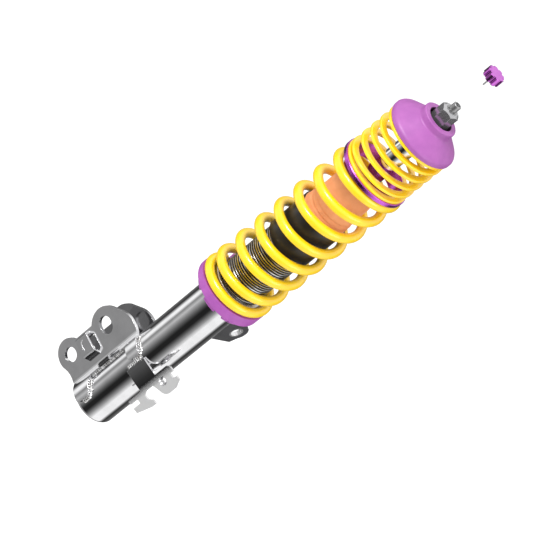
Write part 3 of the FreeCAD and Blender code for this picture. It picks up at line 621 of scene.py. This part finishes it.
SEAM_R = 1.5
BEAD_R = 2.2
HOSE_BEAD_R = 2.1
TAB_BEAD_R = 2.0
CLEVIS_BEADS = [                      # (x, z) along each bead, its radius and its ripple pitch
    ([(-17.0, 88.0), (-17.0, 32.0)], SEAM_R, FINE_RIPPLE),
    ([(-18.0, 109.5), (-3.0, 108.6), (1.4, 103.6), (1.4, 94.0)], BEAD_R, WELD_RIPPLE),
    ([(-14.5, 29.9), (-3.2, 26.2), (1.4, 20.6), (1.4, 9.5)], BEAD_R, WELD_RIPPLE)]
CLEVIS_BEAD_OUT = 0.5                # how far each bead's middle stands off the tube
HOSE_BEAD_OUT = 0.8
TAB_BEAD_OUT = 0.2
HOSE_BEAD_SIDE = math.radians(90.5)  # from the bracket's direction back to its bead
HOSE_BEAD_Z = (83.0, 105.5)
TAB_BEAD_Z = (149.0, 182.5)
TAB_BEAD_ASIDE = 0.3                 # from the tab's face to the bead's middle


def on_tube(x, z, side):
    """Point just outside the tube's surface, on its -Y or +Y side."""
    return Vector((x, side * math.sqrt((TUBE_R + CLEVIS_BEAD_OUT) ** 2 - x * x), z))


def all_welds():
    clevis = [([on_tube(x, z, side) for x, z in route], radius, pitch)
              for side in (-1, 1) for route, radius, pitch in CLEVIS_BEADS]
    make_welds("clevis_beads", "clevis_welds", clevis, WELD, seed=11)
    side = HOSE_AZIMUTH - HOSE_BEAD_SIDE
    bracket = [polar(TUBE_R + HOSE_BEAD_OUT, side, z) for z in HOSE_BEAD_Z]
    make_welds("bracket_bead", "hose_bracket_weld", [(bracket, HOSE_BEAD_R, WELD_RIPPLE)], WELD, seed=12)
    spread = (TAB_T / 2 + TAB_BEAD_ASIDE) / TUBE_R
    routes = [[polar(TUBE_R + TAB_BEAD_OUT, TAB_AZIMUTH + side * spread, z) for z in TAB_BEAD_Z]
              for side in (-1, 1)]
    tab = [(route, TAB_BEAD_R, WELD_RIPPLE) for route in routes]
    make_welds("tab_beads", "stabiliser_tab_welds", tab, PAINT, seed=13)


RIB_ROUTE = [(-52.0, 47.2), (-52.6, 44.6), (-49.7, 42.9), (-44.3, 42.4), (-41.6, 43.2)]   # x, z
RIB_R = 0.75
RIB_OUT = 0.1
RIB_TIP = 0.15                       # section of the rib's very ends, as a share of its middle
RIB_TAPER = 3                        # points over which the ends grow


def make_strap_rib(sides=12):
    """Small pressed rib on the crown of the line strap."""
    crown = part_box("line_strap")[0][1] / MM
    outward = Vector((0, -1, 0))
    path = resample([Vector((x, crown + RIB_OUT, z)) for x, z in RIB_ROUTE], WELD_STEP)
    turn = 2 * math.pi / sides
    verts = []
    for k, point in enumerate(path):
        along = (path[min(k + 1, len(path) - 1)] - path[max(k - 1, 0)]).normalized()
        side = along.cross(outward)
        size = RIB_R * math.sqrt(min(1.0, RIB_TIP + min(k, len(path) - 1 - k) / RIB_TAPER))
        verts += [point + (outward * math.cos(turn * j) + side * math.sin(turn * j)) * size
                  for j in range(sides)]
    rib = piece("strap_rib", verts, ring_faces(len(path), sides), [STEEL], [], "strut", crease=60)


# ------------------------------------------------------------------ bump stop
def make_bump_stop():
    low, high = low_z("bump_stop"), high_z("bump_stop")
    bore, skirt, body, neck = 10.8, 26.3, 25.7, 24.1
    edge, lip, groove_r = 1.5, 2.0, 1.5
    skirt_top, neck_low, neck_high = 366.4, 389.0, 403.0
    groove_low, groove_high = 375.0, 380.2
    profile = [(bore + edge, low), (skirt - lip, low), (skirt, low + lip), (skirt, skirt_top),
               (body, skirt_top + 0.6), (body, groove_low - lip)]
    profile += arc((body + 0.1, groove_low), groove_r, 230, 130, 6)
    profile += [(body - 0.1, groove_low + 1.9), (body - 0.3, groove_high - 1.9)]
    profile += arc((body - 0.2, groove_high), groove_r, 230, 130, 6)
    profile += [(24.9, groove_high + 2.2), (24.3, neck_low - 3.5), (neck, neck_low), (neck, neck_high)]
    profile += [(23.85, 406.5), (23.1, 410.5), (21.9, 414.0), (20.3, 417.2), (19.0, high)]
    profile += [(bore + edge, high), (bore, high - edge), (bore, low + edge)]
    lathe("foam_bump_stop", profile, SALMON, ["bump_stop"], "bump")


# ------------------------------------------------------------------ the studio
CARDS_GLOW = 1.25                    # strength of everything that the metal reflects
CARD_GAMMA = 2.2                     # brightness is named as the eye sees it
BACK_CARD = (78.0, 0.56)             # the wall brightens from this angle, up to this straight behind
DIM = 0.15                           # the darkest that the room gets
ROOM_GLOW = 1.0                      # strength of the white room that lights everything else
LIGHT_CARDS = [                      # degrees from the camera's side: from, to, fades, brightness
    (-98.0, -86.0, 27.0, 30.0, 0.96),
    (-56.0, -56.0, 54.0, 60.0, 0.74),
    (56.0, 98.0, 58.0, 24.0, 0.96)]
HEIGHT_CARDS = [(-0.75, -0.97, 0.35), (0.12, 0.45, 0.9)]    # height where each starts and fills, level
# lamps, with angles in degrees from the camera's side and lengths in metres, like the floor's
KEY = {"azimuth": -55, "elevation": 50, "distance": 1.6, "size": 0.5, "watts": 16}
FILL = {"azimuth": 60, "elevation": 35, "distance": 1.8, "size": 0.9, "watts": 6}
LAMP_AIM = 0.3
FLOOR_HALF = 9.0
FLOOR_Z = -0.3
FLOOR_GLOW = 0.12


def card_level(shader, angle):
    """Brightness of the soft light panels round the strut, seen at an angle from the camera's side."""
    behind = shader.maths("ABSOLUTE", angle)
    back = shader.span(behind, math.radians(BACK_CARD[0]), math.pi, 0.0, BACK_CARD[1])
    level = shader.maths("MAXIMUM", back, DIM)
    for start, end, fade_in, fade_out, bright in LIGHT_CARDS:
        rise = shader.span(angle, math.radians(start - fade_in), math.radians(start))
        fall = shader.span(angle, math.radians(end), math.radians(end + fade_out), 1.0, 0.0)
        card = shader.maths("MULTIPLY", shader.maths("MULTIPLY", rise, fall), bright)
        level = shader.maths("MAXIMUM", level, card)
    return shader.maths("POWER", level, CARD_GAMMA)


def make_world():
    """A white room for the eye and for soft light, and light panels for what gloss reflects."""
    world = bpy.data.worlds.new("studio")
    world.use_nodes = True
    bpy.context.scene.world = world
    shader = Shader(world.node_tree)
    out = shader.add("ShaderNodeOutputWorld")
    plain = shader.add("ShaderNodeBackground", Color=(1, 1, 1, 1), Strength=ROOM_GLOW)
    cards = shader.add("ShaderNodeBackground", Strength=CARDS_GLOW)
    which = shader.add("ShaderNodeMixShader")
    path = shader.add("ShaderNodeLightPath")
    shader.link(path.outputs["Is Glossy Ray"], which.inputs[0])
    shader.link(plain.outputs[0], which.inputs[1])
    shader.link(cards.outputs[0], which.inputs[2])
    shader.link(which.outputs[0], out.inputs["Surface"])
    where = shader.add("ShaderNodeTexCoord")
    turn = shader.add("ShaderNodeMapping")
    turn.inputs["Rotation"].default_value = (0, 0, -FRONT)
    shader.link(where.outputs["Generated"], turn.inputs["Vector"])
    xyz = shader.add("ShaderNodeSeparateXYZ")
    shader.link(turn.outputs["Vector"], xyz.inputs[0])
    angle = shader.add("ShaderNodeMath", operation="ARCTAN2")
    shader.link(xyz.outputs["Y"], angle.inputs[0])
    shader.link(xyz.outputs["X"], angle.inputs[1])
    colour = card_level(shader, angle.outputs[0])
    for low, high, level in HEIGHT_CARDS:
        mix = shader.add("ShaderNodeMix", data_type="RGBA")
        mix.inputs["B"].default_value = (level, level, level, 1)
        shader.link(shader.span(xyz.outputs["Z"], low, high), mix.inputs["Factor"])
        shader.link(colour, mix.inputs["A"])
        colour = mix.outputs["Result"]
    shader.link(colour, cards.inputs["Color"])


def area_light(name, azimuth, elevation, distance, size, watts):
    data = bpy.data.lights.new(name, "AREA")
    data.size = size
    data.energy = watts
    lamp = bpy.data.objects.new(name, data)
    lift = math.radians(elevation)
    away = polar(math.cos(lift), FRONT + math.radians(azimuth), math.sin(lift))
    lamp.location = Vector((0, 0, LAMP_AIM)) + away * distance
    lamp.rotation_mode = "QUATERNION"
    lamp.rotation_quaternion = away.to_track_quat("Z", "Y")
    lamp.visible_camera = False
    bpy.context.scene.collection.objects.link(lamp)


def make_studio():
    make_world()
    area_light("key", **KEY)
    area_light("fill", **FILL)
    corners = [(x * FLOOR_HALF, y * FLOOR_HALF, FLOOR_Z) for x, y in ((-1, -1), (1, -1), (1, 1), (-1, 1))]
    mesh = bpy.data.meshes.new("floor")
    mesh.from_pydata(corners, [], [(0, 1, 2, 3)])
    floor = bpy.data.objects.new("floor", mesh)
    bpy.context.scene.collection.objects.link(floor)
    pale = surface("pale_floor", (0.93, 0.93, 0.93), 0.8, color2=(0.92, 0.92, 0.92), grain=3, bump=0.0,
                   Emission_Color=(1, 1, 1, 1), Emission_Strength=FLOOR_GLOW)
    mesh.materials.append(pale)
    floor.visible_glossy = False
    bpy.context.scene.view_settings.view_transform = "Standard"


make_camera()
make_studio()
dress_cad()
make_tube()
make_springs()
all_welds()
make_strap_rib()
make_bump_stop()
